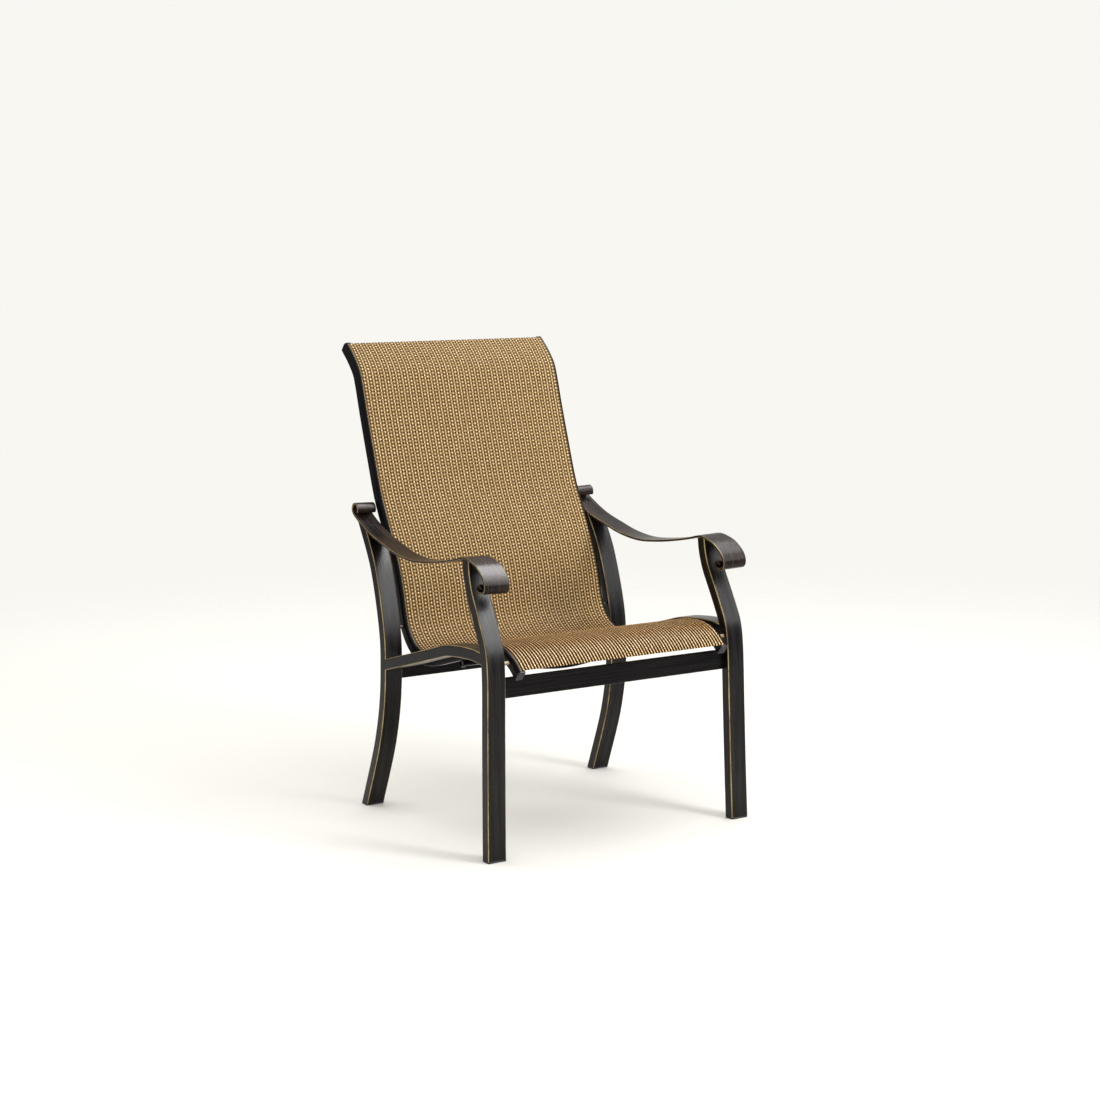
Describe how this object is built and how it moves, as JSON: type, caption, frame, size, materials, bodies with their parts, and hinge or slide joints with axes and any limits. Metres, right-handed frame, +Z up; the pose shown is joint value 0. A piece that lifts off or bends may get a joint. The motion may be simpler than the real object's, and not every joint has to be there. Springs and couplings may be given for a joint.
{
  "type": "sling patio chair",
  "caption": "High-backed patio armchair: bent flat-tube frame with scrolled flat arms, and a woven fabric sling stretched between two curved side rails.",
  "frame": {"origin": "on the floor, under the middle of the chair's overall width and depth", "axes": "+Z up, +X to the right as seen from in front of the chair, +Y from the front of the seat towards the back"},
  "size_m": [0.673, 0.781, 1.0452],
  "materials": {
    "bronze_frame": "dark bronze, faintly brushed, edges rubbed to gold",
    "woven_sling": "open weave of coated tan and cream strands",
    "dark_plastic": "satin moulded",
    "pale_nylon": "satin moulded",
    "spline_cord": "extruded rod",
    "fastener_steel": "zinc plated"
  },
  "bodies": {
    "root": {"left_front_leg": "bronze_frame", "left_rear_leg": "bronze_frame", "left_side_rail": "bronze_frame", "left_arm": "bronze_frame", "left_front_glide": "dark_plastic", "left_rear_glide": "dark_plastic", "left_sling_rail": "bronze_frame", "left_sling_spline": "spline_cord", "left_front_end_cap": "dark_plastic", "left_top_end_cap": "dark_plastic", "right_front_leg": "bronze_frame", "right_rear_leg": "bronze_frame", "right_side_rail": "bronze_frame", "right_arm": "bronze_frame", "right_front_glide": "dark_plastic", "right_rear_glide": "dark_plastic", "right_sling_rail": "bronze_frame", "right_sling_spline": "spline_cord", "right_front_end_cap": "dark_plastic", "right_top_end_cap": "dark_plastic", "front_cross_rail": "bronze_frame", "rear_cross_rail": "bronze_frame", "sling": "woven_sling", "seat_spreader": "bronze_frame", "lower_back_spreader": "bronze_frame", "upper_back_spreader": "bronze_frame", "left_seat_screw": "fastener_steel", "right_seat_screw": "fastener_steel", "left_lower_back_screw": "fastener_steel", "right_lower_back_screw": "fastener_steel", "left_upper_back_screw": "fastener_steel", "right_upper_back_screw": "fastener_steel", "left_front_bolt": "fastener_steel", "left_front_washer": "fastener_steel", "left_front_spacer": "pale_nylon", "left_front_insert": "fastener_steel", "left_rear_bolt": "fastener_steel", "left_rear_washer": "fastener_steel", "left_rear_spacer": "dark_plastic", "left_rear_insert": "fastener_steel", "right_front_bolt": "fastener_steel", "right_front_washer": "fastener_steel", "right_front_spacer": "pale_nylon", "right_front_insert": "fastener_steel", "right_rear_bolt": "fastener_steel", "right_rear_washer": "fastener_steel", "right_rear_spacer": "dark_plastic", "right_rear_insert": "fastener_steel"}
  },
  "joints": []
}
